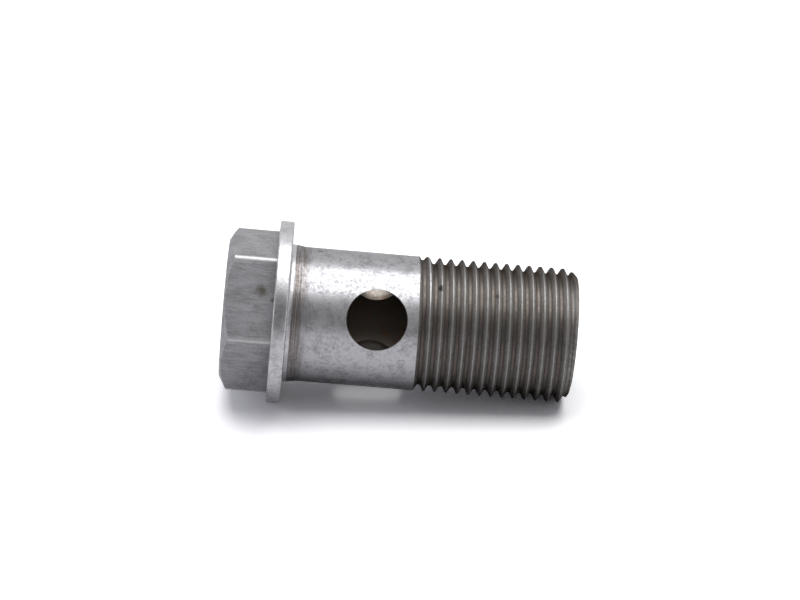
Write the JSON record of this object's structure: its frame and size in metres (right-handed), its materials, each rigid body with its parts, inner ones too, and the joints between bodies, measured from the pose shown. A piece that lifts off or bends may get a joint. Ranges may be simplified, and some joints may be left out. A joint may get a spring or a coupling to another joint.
{
  "type": "banjo bolt",
  "caption": "Hollow steel banjo bolt: chamfered hexagon head, round collar, cross-drilled ground shank and a fine right-hand thread at the open end.",
  "frame": {"origin": "centre of the hexagon head's end face, which is the lowest face: the bolt stands on its head", "axes": "+Z along the bolt's axis, from the head to the open threaded end; -Y points out of one of the three cross holes"},
  "size_m": [0.0242, 0.0242, 0.0464],
  "materials": {
    "steel": "bare steel: matte grainy head, ground shank, turned collar, darker oil-stained thread roots"
  },
  "bodies": {
    "root": {"banjo_bolt": "steel"}
  },
  "joints": []
}
